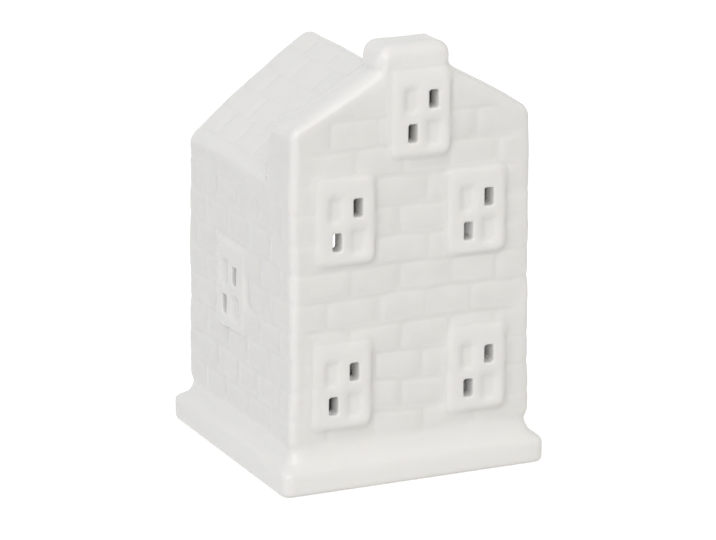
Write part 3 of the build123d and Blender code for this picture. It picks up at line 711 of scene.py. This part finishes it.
stood = lay("GeometryNodeRealizeInstances", {"Geometry": stood})
stood = lay("GeometryNodeSetMaterial", {"Geometry": stood, "Material": cotton})
lay("NodeGroupOutput", {"Geometry": stood})

wick = bpy.data.objects.new("cotton_wick", bpy.data.meshes.new("cotton_wick"))
bpy.context.scene.collection.objects.link(wick)
grow(wick, braid, braid_values)
wick.data.shade_smooth()
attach(wick, "candle")
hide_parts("wick")

# Wax: paraffin grains pressed to a block, with rounded edges, a dished top, a low collar where it
# meets the wick, and a pocket underneath for the tab. It sits loose in the cup. Sizes are in mm.
WAX_FOOT, WAX_TOP, WAX_RADIUS = CUP_FOOT + 0.35, CUP_FOOT + 12.75, 17.65
FOOT_ROUNDING, TOP_ROUNDING = 1.2, 0.8
DISH_RADIUS, DISH_DEPTH, COLLAR_EDGE = 16.05, 0.6, 2
SWELL, DIMPLES = 0.03, 0.02  # how far the top is out of level
POCKET_RADIUS, POCKET_HEIGHT, COLLAR_POCKET, COLLAR_POCKET_TOP, WICK_BORE = 6.6, 0.4, 1.4, 4.4, 0.95

# Pressed paraffin: white and translucent, its pressed grains just visible
paraffin, tree, shader, place = new_material("pressed_paraffin")
grains = add(tree, "ShaderNodeTexVoronoi", {"Vector": place, "Scale": per_mm(1.1)}, feature="SMOOTH_F1")
grain_tone = add(tree, RANGE, (grains, 0.0, 0.6, 0.0, 1.0))
haze = add(tree, NOISE, {"Vector": place, "Scale": per_mm(4), "Detail": 2.0})
press = {"Height": grains, "Strength": 0.25, "Distance": 0.06 * MM}
fill(tree, shader, {
    "Base Color": add(tree, MIX, (grain_tone, colour("#FBFAF6"), colour("#F3F1EA")), data_type="RGBA"),
    "Roughness": add(tree, RANGE, (haze, 0.3, 0.7, 0.42, 0.6)),
    "Normal": add(tree, BUMP, press, invert=True),
    "Subsurface Weight": 0.4,
    "Subsurface Radius": (1.0, 0.9, 0.75),
    "Subsurface Scale": 2.5 * MM,
})

dish = (DISH_RADIUS, 15.0, 13.5, 12.0, 10.5, 9.0, 7.5, 6.0, 4.5, 3.2, 2.3)
collar = [(1.7, 0.53), (1.3, 0.42), (1.05, 0.3), (0.96, 0.25), (WICK_BORE, 0.5)]  # radius, and below the top
pockets = [(WICK_BORE, COLLAR_POCKET_TOP), (COLLAR_POCKET, COLLAR_POCKET_TOP)]
pockets += [(COLLAR_POCKET, POCKET_HEIGHT), (POCKET_RADIUS, POCKET_HEIGHT)]
profile = [(r, WAX_FOOT) for r in (POCKET_RADIUS, 10.0, 14.0)]
profile += arc((WAX_RADIUS - FOOT_ROUNDING, WAX_FOOT + FOOT_ROUNDING), FOOT_ROUNDING, -90, 0)
profile += [(WAX_RADIUS, WAX_FOOT + z) for z in (3.0, 5.0, 7.0, 9.0, 10.8)]
profile += arc((WAX_RADIUS - TOP_ROUNDING, WAX_TOP - TOP_ROUNDING), TOP_ROUNDING, 0, 90)
profile += [(r, WAX_TOP - DISH_DEPTH * (1 - (r / DISH_RADIUS) ** 2)) for r in dish]
profile += [(r, WAX_TOP - below) for r, below in collar]
profile += [(r, WAX_FOOT + z) for r, z in pockets]


def settled(angle, r, z):
    """The top is not quite level, as pressed wax is."""
    if z > WAX_TOP - TOP_ROUNDING and COLLAR_EDGE < r <= DISH_RADIUS:
        swell, dimples = sin(2 * angle + 0.6) * sin(0.5 * r), sin(5 * angle) * cos(0.9 * r)
        z -= SWELL * (1 + swell) + DIMPLES * (1 + dimples)
    return r, z


wax = turned("paraffin_wax", profile, steps=240, material=paraffin, change=settled)
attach(wax, "candle")
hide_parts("wax")

# Studio: a wide pale floor, which is white to the camera and keeps the shadow
FLOOR_SIZE, FLOOR_HEIGHT = 8.0, -0.03 * MM  # just clear of the foot
FLOOR_GLOW = 0.6  # what it adds to the light on it, for the rays that see white
WHITE = colour("#FFFFFF")


def background_rays(tree):
    """1 for rays from the camera and for reflected or refracted ones, which see white, and 0 for others."""
    path = add(tree, "ShaderNodeLightPath").outputs
    rays = [path[name] for name in ("Is Camera Ray", "Is Transmission Ray", "Is Glossy Ray")]
    return add(tree, MATHS, rays, operation="MAXIMUM")


# White paper: matt, with a faint fleck
paper, tree, shader, place = new_material("white_paper")
fleck = add(tree, NOISE, {"Vector": place, "Scale": per_mm(3), "Detail": 2.0})
tone = add(tree, MIX, (fleck, colour("#E3E3E3"), colour("#E5E5E5")), data_type="RGBA")
fill(tree, shader, {"Base Color": tone, "Roughness": 0.9, "Specular IOR Level": 0.0})
lift = add(tree, MATHS, (background_rays(tree), FLOOR_GLOW), operation="MULTIPLY")
glow = add(tree, "ShaderNodeEmission", {"Color": WHITE, "Strength": lift})
fill(tree, tree.nodes["Material Output"], {"Surface": add(tree, "ShaderNodeAddShader", (shader, glow))})
bpy.ops.mesh.primitive_plane_add(size=FLOOR_SIZE, location=(0, 0, FLOOR_HEIGHT))
floor = bpy.context.object
floor.name = "floor"
floor.data.materials.append(paper)

# The room: soft light all round, brightest in front to the left and dim behind; warmest from the
# front right and coolest from the back left
BRIGHTEST = Vector((-0.40, -0.62, 0.64)).normalized()
WARMEST = (0.75, -0.66, 0.0)
world = bpy.data.worlds.new("studio")
bpy.context.scene.world = world
world.use_nodes = True
tree = world.node_tree
way = add(tree, "ShaderNodeTexCoord").outputs["Generated"]
seen = background_rays(tree)
facing_light = add(tree, VECTORS, (way, BRIGHTEST), operation="DOT_PRODUCT")
strength = add(tree, RANGE, (facing_light, -0.7, 0.8, 0.32, 0.69), interpolation_type="SMOOTHSTEP")
warmth = add(tree, RANGE, (add(tree, VECTORS, (way, WARMEST), operation="DOT_PRODUCT"), -0.8, 0.8, 0.0, 1.0))
tint = add(tree, MIX, (warmth, colour("#F6F7FA"), colour("#FFFCF6")), data_type="RGBA")
fill(tree, tree.nodes["Background"], {
    "Strength": add(tree, MIX, (seen, strength, 1.0)),
    "Color": add(tree, MIX, (seen, tint, WHITE), data_type="RGBA"),
})

# Key lamp: a large soft one in front, to the left and above, aimed at the middle of the house
KEY_PLACE, KEY_AIM = Vector((-1.1, -1.48, 1.3)), Vector((0, 0, 0.06))
KEY_WATTS, KEY_SIZE = 22.0, 2.2
lamp = bpy.data.lights.new("key", "AREA")
lamp.energy = KEY_WATTS
lamp.size = KEY_SIZE
lamp.color = colour("#FFFDFA")[:3]
holder = bpy.data.objects.new("key", lamp)
bpy.context.scene.collection.objects.link(holder)
holder.location = KEY_PLACE
holder.rotation_euler = (KEY_AIM - KEY_PLACE).to_track_quat("-Z", "Y").to_euler()

# Camera: a long lens from the front left, looking a little down
AZIMUTH, ELEVATION, ROLL = radians(25.19), radians(16.43), radians(0.49)
DISTANCE = 1271.0 * MM
SENSOR, LENS = 36.0, 234.26
LENS_PIXELS = 4659  # the same lens, in pixels of the picture
DROP_PIXELS = 32.3  # how far the middle of the picture lies below AIM
AIM = Vector((0, 0, 57.9 * MM))
back = Vector((-sin(AZIMUTH) * cos(ELEVATION), -cos(AZIMUTH) * cos(ELEVATION), sin(ELEVATION)))
level = Vector((cos(AZIMUTH), -sin(AZIMUTH), 0))
upright = back.cross(level)
across = level * cos(ROLL) + upright * sin(ROLL)
upright = upright * cos(ROLL) - level * sin(ROLL)
tilt = DROP_PIXELS / LENS_PIXELS
towards = (-back - upright * tilt).normalized()
upright = (upright - towards * upright.dot(towards)).normalized()
camera = bpy.data.cameras.new("camera")
camera.sensor_width = SENSOR
camera.lens = LENS
viewer = bpy.data.objects.new("camera", camera)
bpy.context.scene.collection.objects.link(viewer)
turn = Matrix((across, upright, -towards)).transposed().to_4x4()
viewer.matrix_world = Matrix.Translation(AIM + back * DISTANCE) @ turn
bpy.context.scene.camera = viewer
bpy.context.scene.view_settings.view_transform = "Standard"
